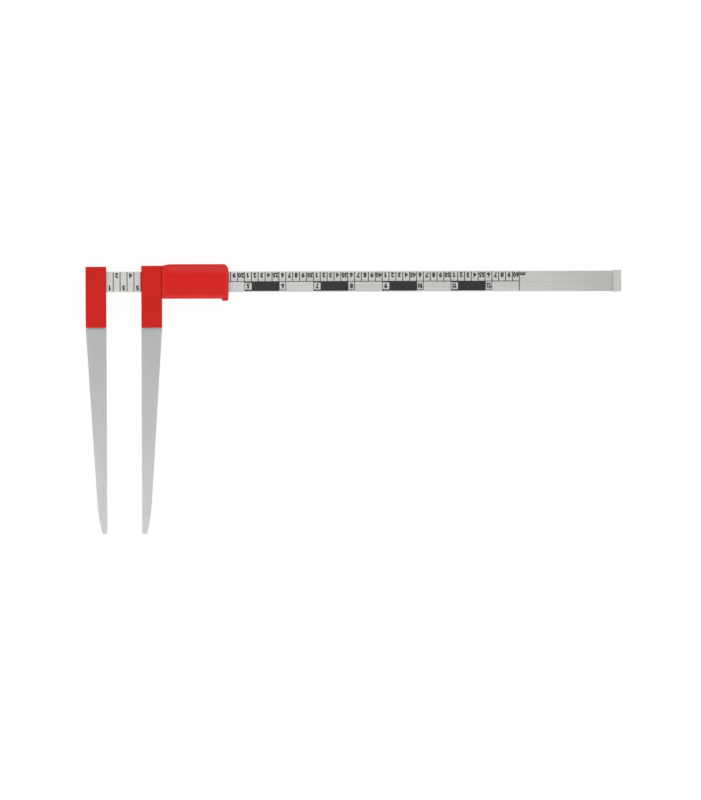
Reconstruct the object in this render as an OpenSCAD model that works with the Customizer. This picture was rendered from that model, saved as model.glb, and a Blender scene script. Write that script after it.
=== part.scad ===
// Log caliper: a fixed and a sliding tapered blade on a hollow beam with a centimetre scale.
// It lies on its back with the scale face up. X runs along the beam, and the blades point to -Y.
// Shapes are drawn with x = 0 on the fixed measuring face and y = 0 on the beam's centre line.

/* [Beam] */
// Height of the beam across its scale face
beam_h = 30; // [26:0.5:36]
// Thickness of the beam
beam_t = 10; // [9:0.5:14]
// Wall of the hollow beam
beam_wall = 1.8; // [1.5:0.1:2.2]
// Radius of the beam's long outer edges
beam_edge_r = 0.6; // [0.4:0.1:1.5]
// Length of the beam from the scale's zero to the end cap
beam_reach = 737.3; // [640:0.1:860]
// Length of the tapped block inside the root end of the beam
insert_len = 22; // [20:0.5:24]

/* [End cap] */
// Length of the end cap past the beam
cap_len = 11.7; // [8:0.1:20]
// Height by which the cap stands proud of the beam's narrow sides
cap_proud = 0.7; // [0.4:0.1:1.5]
// Height by which the cap stands proud of the beam's front and back
cap_rise = 2.2; // [0.6:0.1:3]
// Length of the cap's plug inside the beam
cap_plug_len = 14; // [12:0.5:20]
// Radius of the cap's outer edges
cap_edge_r = 0.8; // [0.4:0.1:1.6]

/* [Heads] */
// Width of both heads along the beam, also the width of the blades at their roots
head_w = 30; // [28:0.5:34]
// Distance that the heads reach below the beam
head_below = 51; // [46:0.5:60]
// Distance that the fixed head stands above the beam
fixed_head_above = 7; // [5:0.1:10]
// Wall left behind the beam at the back of the fixed head
head_back_wall = 4; // [3:0.5:5]
// Wall over the carriage at the top of the sliding head
head_roof = 3; // [2:0.1:5]
// Wall of the heads in front of the carriage
head_front_wall = 2.4; // [2:0.1:4]
// Wall of the heads and the grip behind the carriage, down to the plane that the caliper lies on
rear_wall = 2.4; // [2.2:0.1:3.5]
// Wall round the beam at the sliding head's measuring face
mouth_wall = 3; // [2:0.1:4]
// Radius of the heads' outer edges
head_edge_r = 0.8; // [0.6:0.1:1.8]

/* [Blades] */
// Opening between the measuring faces, as drawn
jaw_gap = 50.6; // [10:0.1:90]
// Reach of the blades below the beam
jaw_reach = 350; // [280:1:420]
// Thickness of the blades
blade_t = 10; // [9:0.5:12]
// Length of the steeper nose at the tip
nose_len = 26; // [20:1:40]
// Width of a blade where its nose starts
nose_w = 12.9; // [11:0.1:16]
// Width of a blade at its tip
tip_w = 7.2; // [5:0.1:9]
// Radius that blends the long taper into the nose
nose_r = 300; // [150:10:320]
// Radius of the fixed blade's outer tip corner
fixed_tip_r = 3.6; // [1:0.1:4]
// Radius of the sliding blade's outer tip corner
sliding_tip_r = 0.8; // [0.4:0.1:4]
// Plastic left on each side of the tang in a head
tang_side = 4; // [3:0.5:6]
// Step from a blade's face down to its tang
tang_step = 1; // [0.6:0.1:1.5]
// Plastic between the top of the tang and the carriage
tang_cover = 8; // [6:0.5:10]

/* [Carriage and glides] */
// Wall of the carriage sleeve
carriage_wall = 1.8; // [1.6:0.1:2.4]
// Thickness of the glide pads in front of the beam and behind it
face_pad_t = 1.1; // [0.9:0.1:1.6]
// Width of those face pads across the beam
face_pad_h = 14; // [10:0.5:18]
// Thickness of the glide pads under the beam
lower_pad_t = 1.5; // [1.1:0.1:2]
// Length of every glide pad
pad_len = 22; // [16:1:26]
// Distance from an end of the carriage to the middle of the nearest pad
pad_inset = 15; // [14:0.5:18]
// Diameter of the pegs that hold the pads in the carriage
peg_d = 4; // [3:0.1:5]
// Thickness of the gib on top of the beam
gib_t = 2; // [1.6:0.1:2.6]
// Width of the gib and the lower pads across the beam's edge
gib_w = 7; // [6:0.5:7.5]
// Room over the gib for its leaf spring
spring_room = 1.4; // [1.2:0.1:2]
// Thickness of the leaf spring
spring_t = 0.4; // [0.3:0.05:0.6]
// Length of the spring past each adjuster
spring_wing = 12; // [8:0.5:13]

/* [Grip] */
// Length of the grip behind the sliding head
grip_len = 96.5; // [90:0.5:120]
// Material of the grip above the carriage
grip_roof = 5.3; // [5:0.1:8]
// Material of the grip below the carriage
grip_floor = 6.1; // [5:0.1:8]
// Height of the grip's dome in front of the carriage
grip_dome = 6.8; // [5:0.1:9]
// Wall of the dome over its hollow
grip_skin = 2.4; // [1.8:0.1:3]
// Thickness of the ribs across the hollow of the dome
grip_rib = 2; // [1.5:0.1:3]
// Solid length of the grip at its free end
grip_end = 17; // [14:0.5:22]
// Radius along the grip's upper front edge
grip_top_r = 9.5; // [6:0.5:10]
// Radius along the grip's lower front edge
grip_low_r = 6.5; // [3:0.5:7]
// Radius of the grip's front edge next to the head
grip_head_r = 6; // [3:0.5:7]
// Radius of the grip's front edge at its free end
grip_end_r = 7; // [4:0.5:8]
// Radius of the grip's rear edges
grip_rear_r = 2.5; // [1:0.1:3]
// Radius of the grip's upper corner at its free end
grip_corner_r = 8; // [4:0.5:10]
// Radius of the grip's upper shoulder next to the head
grip_shoulder_r = 50; // [30:1:70]
// Length along the grip in which that shoulder rises to full height
grip_shoulder_len = 15; // [10:0.5:18]
// Radius of the bowed free end
grip_bow_r = 600; // [300:10:900]
// Width of the finger lip under the free end
lip_w = 9.5; // [6:0.5:12]
// Drop of the finger lip below the grip
lip_drop = 3.3; // [2:0.1:5]
// Radius of the finger lip's corners
lip_r = 2; // [1:0.1:2.5]
// Distance from the free end to the finger lip
lip_inset = 0.6; // [0.5:0.1:3]
// Distance from the grip's front and rear to the finger lip
lip_margin = 4; // [3:0.5:6]
// Length of the tongue that joins the grip to the sliding head
tongue_len = 4; // [3:0.5:6]
// Thickness of that tongue
tongue_t = 2.4; // [1.8:0.1:3]
// Width of that tongue
tongue_w = 10; // [8:0.5:12]
// Length of the guide bush at the free end of the carriage
bush_len = 6; // [4:0.5:8]

/* [Fasteners] */
// Diameter of the screws that hold the fixed head and the blades
screw_d = 4; // [3:0.5:5]
// Diameter of the smaller screws in the grip, the sliding head and the cap
small_screw_d = 3; // [2.5:0.5:3]
// Diameter of the gib's adjusting set screws
adjuster_d = 4; // [3:0.5:5]
// Thickness of the adjusters' square nuts
nut_t = 3.2; // [2.4:0.1:3.4]
// Width of the adjusters' square nuts across flats
nut_w = 7; // [7:0.5:9]
// Distance from the grip's gripped ends to the nearest adjuster
adjuster_inset = 17; // [14:0.5:20]
// Distance from an end of the tang to the nearest blade screw
blade_screw_inset = 9; // [7:0.5:10]
// Distance from the beam's centre line to each head screw
head_screw_offset = 8; // [7:0.5:9]
// Depth of the screw heads below the rear plane
screw_recess = 0.4; // [0.2:0.1:0.6]

/* [Clearances] */
// Running gap between the glides and the beam
run_gap = 0.1; // [0.05:0.05:0.2]
// Gap between pieces that are fixed together
fit_gap = 0.1; // [0.05:0.05:0.2]
// Gap round the beam where it enters the sliding head and the grip
mouth_gap = 0.5; // [0.3:0.1:0.8]
// Radial gap round the shank of a screw or a peg
screw_gap = 0.1; // [0.05:0.05:0.2]

/* [Hidden] */
$fn = 64;

red = "#cc2a26";
grip_red = "#d42a24";
aluminium = "#c4c6c4";
cap_grey = "#c6c7c2";
beam_grey = "#c8c8c5";
steel = "#9a9ca0";
acetal = "#ece9e0";

// Overshoot that makes a cut pass clean through a face
cut = 1;
// Straight steps in one rounded corner of a drawn outline
arc_steps = 6;
// Straight steps in the whole circle of the grip's bowed end
bow_steps = 720;
// Straight edge left between the blend of a blade's nose and the round of its tip
nose_flat = 0.5;

// A span is [low, high] along one axis
function about(middle, width) = [middle - width / 2, middle + width / 2];
function grow(span, gap) = [span[0] - gap, span[1] + gap];
function mean(span) = (span[0] + span[1]) / 2;
function width(span) = span[1] - span[0];

// Depths, from the rear plane z = 0 forwards
mid_z = rear_wall + carriage_wall + face_pad_t + run_gap + beam_t / 2;
beam_z = about(mid_z, beam_t);
carriage_in_z = grow(beam_z, run_gap + face_pad_t);
carriage_z = grow(carriage_in_z, carriage_wall);
head_z = [0, carriage_z[1] + head_front_wall];
grip_z = [0, carriage_z[1] + grip_dome];
blade_z = about(mid_z, blade_t);
tang_z = grow(blade_z, -tang_step);
mouth_z = grow(beam_z, mouth_gap);

// Heights across the beam
beam_y = about(0, beam_h);
carriage_in_y = [beam_y[0] - run_gap - lower_pad_t, beam_y[1] + run_gap + gib_t + spring_room];
carriage_y = grow(carriage_in_y, carriage_wall);
head_low_y = beam_y[0] - head_below;
fixed_head_y = [head_low_y, beam_y[1] + fixed_head_above];
sliding_head_y = [head_low_y, carriage_y[1] + head_roof];
grip_y = [carriage_y[0] - grip_floor, carriage_y[1] + grip_roof];
mouth_y = grow(beam_y, mouth_gap);
tang_y = [head_low_y, carriage_y[0] - tang_cover];
tip_y = beam_y[0] - jaw_reach;
tongue_y = about(carriage_y[0] - grip_floor / 2, tongue_t);

// Lengths along the beam, measured on the slider from its own measuring face
fixed_head_x = [-head_w, 0];
sliding_head_x = [0, head_w];
grip_x = [head_w, head_w + grip_len];
channel_x = [mouth_wall, grip_x[1] - grip_end];
bush_x = [channel_x[1] - fit_gap - bush_len, channel_x[1] - fit_gap];
carriage_x = [channel_x[0] + fit_gap, bush_x[0] - fit_gap];
pads_x = [carriage_x[0] + pad_inset, carriage_x[1] - pad_inset];
adjusters_x = [grip_x[0] + adjuster_inset, carriage_x[1] - adjuster_inset];
beam_x = [head_back_wall - head_w, beam_reach];
lip_x = [grip_x[1] - lip_inset - lip_w, grip_x[1] - lip_inset];

// Origin: the middle of the caliper's box, on its rear plane
box_x = [fixed_head_x[0], beam_x[1] + cap_len];
box_y = [tip_y, max(grip_y[1], sliding_head_y[1], fixed_head_y[1])];

// Hollow of the beam, and the pieces that plug into it
bore_y = grow(beam_y, -beam_wall);
bore_z = grow(beam_z, -beam_wall);
plug_y = grow(bore_y, -fit_gap);
plug_z = grow(bore_z, -fit_gap);

// Screw heads follow the shank's diameter as in the common metric series
screw_head_ratio = 1.75;
screw_head_h_ratio = 0.65;
socket_ratio = 0.7;
sink_ratio = 1.8;
sink_h_ratio = 0.52;
// Room past the tip of a screw in its blind hole, and the metal left over that hole
tip_room = 0.4;
tip_skin = 1;
// Height of an adjuster's socket end above its nut
adjuster_stand = 1;

// Places of the screws
blade_screws_y = [tang_y[0] + blade_screw_inset, tang_y[1] - blade_screw_inset];
grip_screw_margin = 0.6;
grip_screw_r = small_screw_d * screw_head_ratio / 2 + screw_gap;
grip_screws_y = grow(mouth_y, grip_screw_margin + grip_screw_r);
grip_screw_x = mean([channel_x[1], grip_x[1]]);
grip_screw_bite = 8;
cap_screw_x = beam_reach - cap_plug_len / 2;

// Leaf spring: it touches the gib at its ends and middle and rises to the adjusters
spring_low = beam_y[1] + run_gap + gib_t;
spring_high = carriage_in_y[1] - spring_t;
spring_x = grow(adjusters_x, spring_wing);
adjuster_y = [carriage_in_y[1], carriage_y[1] + nut_t + adjuster_stand];

function unit(v) = v / norm(v);
function xy(corner) = [corner[0], corner[1]];

// Angle through which an outline turns at c, on its way between a and b
function turn(a, c, b) = 180 - acos(unit(a - c) * unit(b - c));

// Distance from corner c to the start of its round of radius r
function round_reach(a, c, b, r) = r * tan(turn(a, c, b) / 2);

// Points of the arc of radius c[2] that rounds corner c between its neighbours a and b
function corner_arc(a, c, b) =
    let (
        to_a = unit(xy(a) - xy(c)),
        to_b = unit(xy(b) - xy(c)),
        angle = turn(xy(a), xy(c), xy(b)),
        centre = xy(c) + unit(to_a + to_b) * c[2] / cos(angle / 2),
        from_c = xy(c) + to_a * round_reach(xy(a), xy(c), xy(b), c[2]) - centre,
        start = atan2(from_c[1], from_c[0]),
        side = sign(to_a[0] * to_b[1] - to_a[1] * to_b[0]),
        sweep = -side * angle
    )
    [for (i = [0:arc_steps]) centre + c[2] * [cos(start + sweep * i / arc_steps),
                                              sin(start + sweep * i / arc_steps)]];

// Outline through corners [x, y, radius], a radius of 0 keeping the corner sharp
function rounded(corners) =
    let (n = len(corners))
    [for (i = [0:n - 1])
        each corners[i][2] == 0
            ? [[corners[i][0], corners[i][1]]]
            : corner_arc(corners[(i + n - 1) % n], corners[i], corners[(i + 1) % n])];

module box(x, y, z) {
    translate([x[0], y[0], z[0]])
        cube([width(x), width(y), width(z)]);
}

// Rectangle with its own radius at each corner, in the order low-low, high-low, high-high, low-high
module rounded_rectangle(u, v, radii) {
    difference() {
        translate([u[0], v[0]])
            square([width(u), width(v)]);
        rounded_corner_cut([u[0], v[0]], [1, 1], radii[0]);
        rounded_corner_cut([u[1], v[0]], [-1, 1], radii[1]);
        rounded_corner_cut([u[1], v[1]], [-1, -1], radii[2]);
        rounded_corner_cut([u[0], v[1]], [1, -1], radii[3]);
    }
}

// What a round of radius r takes off a corner, inward giving the way to the rectangle's inside
module rounded_corner_cut(corner, inward, r) {
    centre = corner + inward * r;
    outer = corner - inward * cut;
    difference() {
        translate([min(centre[0], outer[0]), min(centre[1], outer[1])])
            square(r + cut);
        translate(centre)
            circle(r);
    }
}

// Extrudes a shape drawn in x and z from y[0] to y[1]
module along_y(y) {
    translate([0, y[1], 0])
        rotate([90, 0, 0])
            linear_extrude(width(y))
                children();
}

// Extrudes a shape drawn in y and z from x[0] to x[1]
module along_x(x) {
    translate([x[0], 0, 0])
        rotate([90, 0, 90])
            linear_extrude(width(x))
                children();
}

// Extrudes a shape drawn in x and y from z[0] to z[1]
module along_z(z) {
    translate([0, 0, z[0]])
        linear_extrude(width(z))
            children();
}

// Block with all its edges rounded
module rounded_block(x, y, z, r) {
    radii = [r, r, r, r];
    intersection() {
        along_z(z)
            rounded_rectangle(x, y, radii);
        along_y(y)
            rounded_rectangle(x, z, radii);
        along_x(x)
            rounded_rectangle(y, z, radii);
    }
}

// Cap screw that points to +z with its head's top on z = 0
module cap_screw(d, length) {
    head_h = d * screw_head_h_ratio;
    difference() {
        union() {
            cylinder(d = d * screw_head_ratio, h = head_h);
            cylinder(d = d, h = length);
        }
        translate([0, 0, -cut])
            cylinder(d = d * socket_ratio, h = cut + head_h / 2, $fn = 6);
    }
}

// Hole for a cap screw sunk by the recess below the plane z = 0
module cap_screw_hole(d, length) {
    translate([0, 0, -cut])
        cylinder(d = d * screw_head_ratio + 2 * screw_gap, h = cut + screw_recess + d * screw_head_h_ratio);
    translate([0, 0, -cut])
        cylinder(d = d + 2 * screw_gap, h = cut + length);
}

// Countersunk screw that points to +z with its head's top on z = 0
module sunk_screw(d, length) {
    sink_h = d * sink_h_ratio;
    difference() {
        union() {
            cylinder(d1 = d * sink_ratio, d2 = d, h = sink_h);
            cylinder(d = d, h = length);
        }
        translate([0, 0, -cut])
            cylinder(d = d * socket_ratio, h = cut + sink_h / 2, $fn = 6);
    }
}

// Hole for a countersunk screw whose head lies flush with the plane z = 0
module sunk_screw_hole(d, length) {
    sink_h = d * sink_h_ratio;
    cylinder(d1 = d * sink_ratio + 2 * screw_gap, d2 = d + 2 * screw_gap, h = sink_h);
    translate([0, 0, -cut])
        cylinder(d = d + 2 * screw_gap, h = cut + length);
}

// Places of the screws behind the beam's root, the tangs, the sliding head, the grip and the cap
module at_fixed_head_screws() {
    for (y = [-head_screw_offset, head_screw_offset])
        translate([mean(fixed_head_x), y, 0])
            children();
}

module at_blade_screws(head_x) {
    for (y = blade_screws_y)
        translate([mean(head_x), y, 0])
            children();
}

module at_sliding_head_screws() {
    for (y = [-head_screw_offset, head_screw_offset])
        translate([mean(sliding_head_x), y, 0])
            children();
}

module at_grip_screws() {
    for (y = grip_screws_y)
        translate([grip_screw_x, y, 0])
            children();
}

module at_cap_screw() {
    translate([cap_screw_x, 0, beam_z[0]])
        children();
}

fixed_head_screw_tip = plug_z[1] - tip_room;
blade_screw_tip = tang_z[1] - tip_skin - tip_room;
sliding_head_screw_tip = carriage_in_z[0] - tip_room;
grip_screw_tip = mid_z + grip_screw_bite;
cap_screw_len = plug_z[1] - tip_skin - tip_room - beam_z[0];

// Beam body
module beam() {
    color(beam_grey)
        difference() {
            along_x(beam_x)
                difference() {
                    rounded_rectangle(beam_y, beam_z, [for (i = [1:4]) beam_edge_r]);
                    translate([bore_y[0], bore_z[0]])
                        square([width(bore_y), width(bore_z)]);
                }
            at_fixed_head_screws()
                cylinder(d = screw_d + 2 * screw_gap, h = mid_z);
            at_cap_screw()
                sunk_screw_hole(small_screw_d, beam_t / 2);
        }
}

module end_cap() {
    color(cap_grey)
        difference() {
            union() {
                rounded_block([beam_x[1], beam_x[1] + cap_len], grow(beam_y, cap_proud),
                              grow(beam_z, cap_rise), cap_edge_r);
                box([beam_x[1] - cap_plug_len, beam_x[1] + cut], plug_y, plug_z);
            }
            at_cap_screw()
                sunk_screw_hole(small_screw_d, cap_screw_len + tip_room);
        }
}

module end_cap_screw() {
    color(steel)
        at_cap_screw()
            sunk_screw(small_screw_d, cap_screw_len);
}

// Pocket for a blade's tang, open at the lower end of a head
module tang_pocket(head_x) {
    box(grow(head_x, fit_gap - tang_side), [tang_y[0] - cut, tang_y[1] + fit_gap], grow(tang_z, fit_gap));
}

module fixed_head() {
    color(red)
        difference() {
            rounded_block(fixed_head_x, fixed_head_y, head_z, head_edge_r);
            box([beam_x[0] - fit_gap, cut], grow(beam_y, fit_gap), grow(beam_z, fit_gap));
            tang_pocket(fixed_head_x);
            at_fixed_head_screws()
                cap_screw_hole(screw_d, mid_z);
            at_blade_screws(fixed_head_x)
                cap_screw_hole(screw_d, mid_z);
        }
}

module beam_insert() {
    color(aluminium)
        difference() {
            box([beam_x[0] + fit_gap, beam_x[0] + insert_len], plug_y, plug_z);
            at_fixed_head_screws()
                cylinder(d = screw_d + 2 * screw_gap, h = plug_z[1] + cut);
        }
}

module fixed_head_screws() {
    color(steel)
        at_fixed_head_screws()
            translate([0, 0, screw_recess])
                cap_screw(screw_d, fixed_head_screw_tip - screw_recess);
}

// Blade whose measuring face lies on x = 0 and whose back faces the way that side gives, -1 or 1
module blade(side, head_x, tip_r) {
    root = [side * head_w, head_low_y];
    nose = [side * nose_w, tip_y + nose_len];
    tip = [side * tip_w, tip_y];
    inner_tip = [0, tip_y];
    nose_room = norm(tip - nose) - round_reach(nose, tip, inner_tip, tip_r) - nose_flat;
    blend_r = min(nose_r, nose_room / tan(turn(root, nose, tip) / 2));
    color(aluminium)
        difference() {
            union() {
                along_z(blade_z)
                    polygon(rounded([
                        [0, head_low_y, 0],
                        [each root, 0],
                        [each nose, blend_r],
                        [each tip, tip_r],
                        [each inner_tip, 0],
                    ]));
                box(grow(head_x, -tang_side), [tang_y[0] - cut, tang_y[1]], tang_z);
            }
            at_blade_screws(head_x)
                cylinder(d = screw_d + 2 * screw_gap, h = blade_screw_tip + tip_room);
        }
}

module fixed_blade() {
    blade(-1, fixed_head_x, fixed_tip_r);
}

module blade_screws(head_x) {
    color(steel)
        at_blade_screws(head_x)
            translate([0, 0, screw_recess])
                cap_screw(screw_d, blade_screw_tip - screw_recess);
}

module fixed_blade_screws() {
    blade_screws(fixed_head_x);
}

// Sliding body
module sliding_head() {
    color(red)
        difference() {
            rounded_block(sliding_head_x, sliding_head_y, head_z, head_edge_r);
            box([-cut, channel_x[0] + cut], mouth_y, mouth_z);
            carriage_channel();
            tang_pocket(sliding_head_x);
            box([head_w - tongue_len - fit_gap, head_w + cut], grow(tongue_y, fit_gap),
                grow(about(mid_z, tongue_w), fit_gap));
            at_sliding_head_screws()
                sunk_screw_hole(small_screw_d, mid_z);
            at_blade_screws(sliding_head_x)
                cap_screw_hole(screw_d, mid_z);
        }
}

module sliding_head_screws() {
    color(steel)
        at_sliding_head_screws()
            sunk_screw(small_screw_d, sliding_head_screw_tip);
}

module sliding_blade() {
    blade(1, sliding_head_x, sliding_tip_r);
}

module sliding_blade_screws() {
    blade_screws(sliding_head_x);
}

// Space for the carriage and the guide bush, through the sliding head and into the grip
module carriage_channel() {
    box(channel_x, grow(carriage_y, fit_gap), grow(carriage_z, fit_gap));
}

module carriage() {
    color(aluminium)
        difference() {
            box(carriage_x, carriage_y, carriage_z);
            box(grow(carriage_x, cut), carriage_in_y, carriage_in_z);
            for (x = pads_x) {
                translate([x, 0, carriage_z[0] - cut])
                    cylinder(d = peg_d + 2 * screw_gap, h = width(carriage_z) + 2 * cut);
                translate([x, 0, mid_z])
                    rotate([90, 0, 0])
                        cylinder(d = peg_d + 2 * screw_gap, h = cut - carriage_y[0]);
            }
            for (x = adjusters_x)
                translate([x, 0, mid_z])
                    rotate([-90, 0, 0])
                        cylinder(d = adjuster_d + 2 * mouth_gap, h = carriage_y[1] + cut);
            at_sliding_head_screws()
                cylinder(d = small_screw_d + 2 * screw_gap, h = mid_z);
        }
}

// Glide pad with a peg, lying on z = 0 and pegged through the wall behind it
module glide_pad(height, thickness) {
    translate([-pad_len / 2, -height / 2, 0])
        cube([pad_len, height, thickness]);
    cylinder(d = peg_d, h = thickness + carriage_wall - fit_gap);
}

module lower_glide_pads() {
    color(acetal)
        for (x = pads_x)
            translate([x, beam_y[0] - run_gap, mid_z])
                rotate([90, 0, 0])
                    glide_pad(gib_w, lower_pad_t);
}

module front_glide_pads() {
    color(acetal)
        for (x = pads_x)
            translate([x, 0, beam_z[1] + run_gap])
                glide_pad(face_pad_h, face_pad_t);
}

module rear_glide_pads() {
    color(acetal)
        for (x = pads_x)
            translate([x, 0, beam_z[0] - run_gap])
                rotate([180, 0, 0])
                    glide_pad(face_pad_h, face_pad_t);
}

module gib() {
    color(acetal)
        box(grow(carriage_x, -fit_gap), [beam_y[1] + run_gap, spring_low], about(mid_z, gib_w));
}

module gib_spring() {
    middle = mean(adjusters_x);
    wave = [
        [spring_x[0], spring_low],
        [adjusters_x[0], spring_high],
        [middle, spring_low],
        [adjusters_x[1], spring_high],
        [spring_x[1], spring_low],
    ];
    color(steel)
        along_z(about(mid_z, gib_w))
            polygon(concat(wave, [for (i = [len(wave) - 1:-1:0]) wave[i] + [0, spring_t]]));
}

module adjuster_nuts() {
    color(steel)
        for (x = adjusters_x)
            difference() {
                box(about(x, nut_w), [carriage_y[1], carriage_y[1] + nut_t], about(mid_z, nut_w));
                translate([x, 0, mid_z])
                    rotate([-90, 0, 0])
                        cylinder(d = adjuster_d + 2 * screw_gap, h = grip_y[1]);
            }
}

// Set screw with its tip on the spring and its socket towards the top of the grip
module adjuster(x) {
    color(steel)
        translate([x, adjuster_y[0], mid_z])
            rotate([-90, 0, 0])
                difference() {
                    cylinder(d = adjuster_d, h = width(adjuster_y));
                    translate([0, 0, width(adjuster_y) / 2])
                        cylinder(d = adjuster_d / 2, h = width(adjuster_y), $fn = 6);
                }
}

module jaw_side_adjuster() {
    adjuster(adjusters_x[0]);
}

module end_side_adjuster() {
    adjuster(adjusters_x[1]);
}

module mouth_bush() {
    color(acetal)
        difference() {
            box(bush_x, carriage_y, carriage_z);
            box(grow(bush_x, cut), grow(beam_y, run_gap), grow(beam_z, run_gap));
        }
}

// Outer form of the closed grip with its finger lip
module grip_form() {
    intersection() {
        along_z(grip_z)
            intersection() {
                rounded_rectangle([grip_x[0] + grip_shoulder_len - grip_shoulder_r, grip_x[1]], grip_y,
                                  [lip_r, lip_r, grip_corner_r, grip_shoulder_r]);
                translate([grip_x[1] - grip_bow_r, mean(grip_y)])
                    circle(grip_bow_r, $fn = bow_steps);
            }
        along_x(grip_x)
            rounded_rectangle(grip_y, grip_z, [grip_rear_r, grip_rear_r, grip_top_r, grip_low_r]);
        along_y(grip_y)
            rounded_rectangle(grip_x, grip_z, [grip_rear_r, grip_rear_r, grip_end_r, grip_head_r]);
    }
    along_z(grow(grip_z, -lip_margin))
        rounded_rectangle(lip_x, [grip_y[0] - lip_drop, mouth_y[0] - grip_screw_margin],
                          [lip_r, lip_r, lip_r, lip_r]);
}

// Everything that is hollow in the closed grip
module grip_hollow() {
    carriage_channel();
    box([channel_x[1] - cut, grip_x[1] + cut], mouth_y, mouth_z);
    for (x = adjusters_x) {
        box(grow(about(x, nut_w), fit_gap), [carriage_y[1], carriage_y[1] + nut_t + fit_gap],
            grow(about(mid_z, nut_w), fit_gap));
        translate([x, carriage_y[1], mid_z])
            rotate([-90, 0, 0])
                cylinder(d = adjuster_d + 2 * mouth_gap, h = grip_roof + cut);
    }
}

// Pockets between the ribs behind the dome
module dome_pockets() {
    pocket_x = [grip_x[0] + grip_head_r, channel_x[1] - grip_skin];
    pockets = 3;
    pitch = (width(pocket_x) + grip_rib) / pockets;
    for (i = [0:pockets - 1])
        box([pocket_x[0] + i * pitch, pocket_x[0] + (i + 1) * pitch - grip_rib],
            grow(carriage_y, -grip_skin), [mid_z, grip_z[1] - grip_skin]);
}

// Half of the tongue that enters the sliding head
module grip_tongue(z) {
    box([head_w - tongue_len, head_w + cut], tongue_y, z);
}

module grip_front_shell() {
    front_z = [mid_z, grip_z[1] + cut];
    color(grip_red)
        difference() {
            union() {
                intersection() {
                    grip_form();
                    box(grow(grip_x, cut), grow(grip_y, lip_drop + cut), front_z);
                }
                grip_tongue([mid_z, mid_z + tongue_w / 2]);
            }
            grip_hollow();
            dome_pockets();
            at_grip_screws()
                cylinder(d = small_screw_d + 2 * screw_gap, h = grip_screw_tip + tip_room);
        }
}

module grip_rear_shell() {
    rear_z = [-cut, mid_z];
    color(grip_red)
        difference() {
            union() {
                intersection() {
                    grip_form();
                    box(grow(grip_x, cut), grow(grip_y, lip_drop + cut), rear_z);
                }
                grip_tongue([mid_z - tongue_w / 2, mid_z]);
            }
            grip_hollow();
            at_grip_screws()
                cap_screw_hole(small_screw_d, mid_z + cut);
        }
}

module grip_screws() {
    color(steel)
        at_grip_screws()
            translate([0, 0, screw_recess])
                cap_screw(small_screw_d, grip_screw_tip - screw_recess);
}

// Puts the origin in the middle of the caliper's box
module placed() {
    translate([-mean(box_x), -mean(box_y), 0])
        children();
}

// Carries what belongs to the slider out to the opening of the jaws
module on_slider() {
    placed()
        translate([jaw_gap, 0, 0])
            children();
}

placed() beam();
placed() end_cap();
placed() end_cap_screw();
placed() fixed_head();
placed() fixed_blade();
placed() beam_insert();
placed() fixed_head_screws();
placed() fixed_blade_screws();
on_slider() carriage();
on_slider() sliding_head();
on_slider() sliding_blade();
on_slider() sliding_head_screws();
on_slider() sliding_blade_screws();
on_slider() grip_front_shell();
on_slider() grip_rear_shell();
on_slider() grip_screws();
on_slider() lower_glide_pads();
on_slider() front_glide_pads();
on_slider() rear_glide_pads();
on_slider() gib();
on_slider() gib_spring();
on_slider() adjuster_nuts();
on_slider() jaw_side_adjuster();
on_slider() end_side_adjuster();
on_slider() mouth_bush();
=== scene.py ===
from math import pi, radians

import bmesh
import bpy
import numpy as np
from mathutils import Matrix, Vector


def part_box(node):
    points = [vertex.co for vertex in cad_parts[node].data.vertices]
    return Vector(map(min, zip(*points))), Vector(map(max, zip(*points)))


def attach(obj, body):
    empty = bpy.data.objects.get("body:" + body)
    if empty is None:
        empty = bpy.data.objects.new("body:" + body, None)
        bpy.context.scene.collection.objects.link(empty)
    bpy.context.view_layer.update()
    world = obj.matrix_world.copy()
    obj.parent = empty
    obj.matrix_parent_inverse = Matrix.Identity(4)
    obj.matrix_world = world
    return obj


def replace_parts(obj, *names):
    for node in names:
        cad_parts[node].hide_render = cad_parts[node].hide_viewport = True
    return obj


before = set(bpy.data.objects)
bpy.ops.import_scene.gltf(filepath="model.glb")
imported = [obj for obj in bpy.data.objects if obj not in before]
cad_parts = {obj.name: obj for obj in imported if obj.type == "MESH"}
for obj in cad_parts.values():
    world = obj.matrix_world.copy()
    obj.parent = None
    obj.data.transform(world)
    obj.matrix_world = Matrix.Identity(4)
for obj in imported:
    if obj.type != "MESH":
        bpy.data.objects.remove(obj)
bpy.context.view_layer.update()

# Beam: a hollow rectangular aluminium extrusion, etched matt, clear anodised and sawn to length.
# The fixed head is screwed onto its root end, where a tapped aluminium block fills the hollow.
MM = 0.001
# Span along the beam over which painted shade darkens its colour towards the free end, in metres.
painted_shade_x = (260 * MM, 380 * MM)
grain_depth = 0.04 * MM


def linear(code):
    """Linear RGBA of an sRGB hex colour: each channel with the sRGB curve undone."""
    srgb = np.array([int(code[i:i + 2], 16) for i in (1, 3, 5)]) / 255
    rgb = np.where(srgb <= 0.04045, srgb / 12.92, ((srgb + 0.055) / 1.055) ** 2.4)
    return (*rgb.tolist(), 1.0)


def add_node(tree, kind, inputs=None, **settings):
    """Adds a node with its settings and returns its first output.
    An input is linked where its value is a socket, and set to the value otherwise."""
    node = tree.nodes.new("ShaderNode" + kind)
    for name, value in settings.items():
        setattr(node, name, value)
    sockets = {socket.identifier: socket for socket in node.inputs}
    for name, value in (inputs or {}).items():
        if isinstance(value, bpy.types.NodeSocket):
            tree.links.new(value, sockets[name])
        else:
            sockets[name].default_value = value
    return next((socket for socket in node.outputs if socket.enabled), None)


def start_material(name):
    """A new material, its empty node tree, and its Object coordinates in metres."""
    material = bpy.data.materials.new(name)
    material.use_nodes = True
    tree = material.node_tree
    tree.nodes.clear()
    return material, tree, tree.nodes.new("ShaderNodeTexCoord").outputs["Object"]


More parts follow.
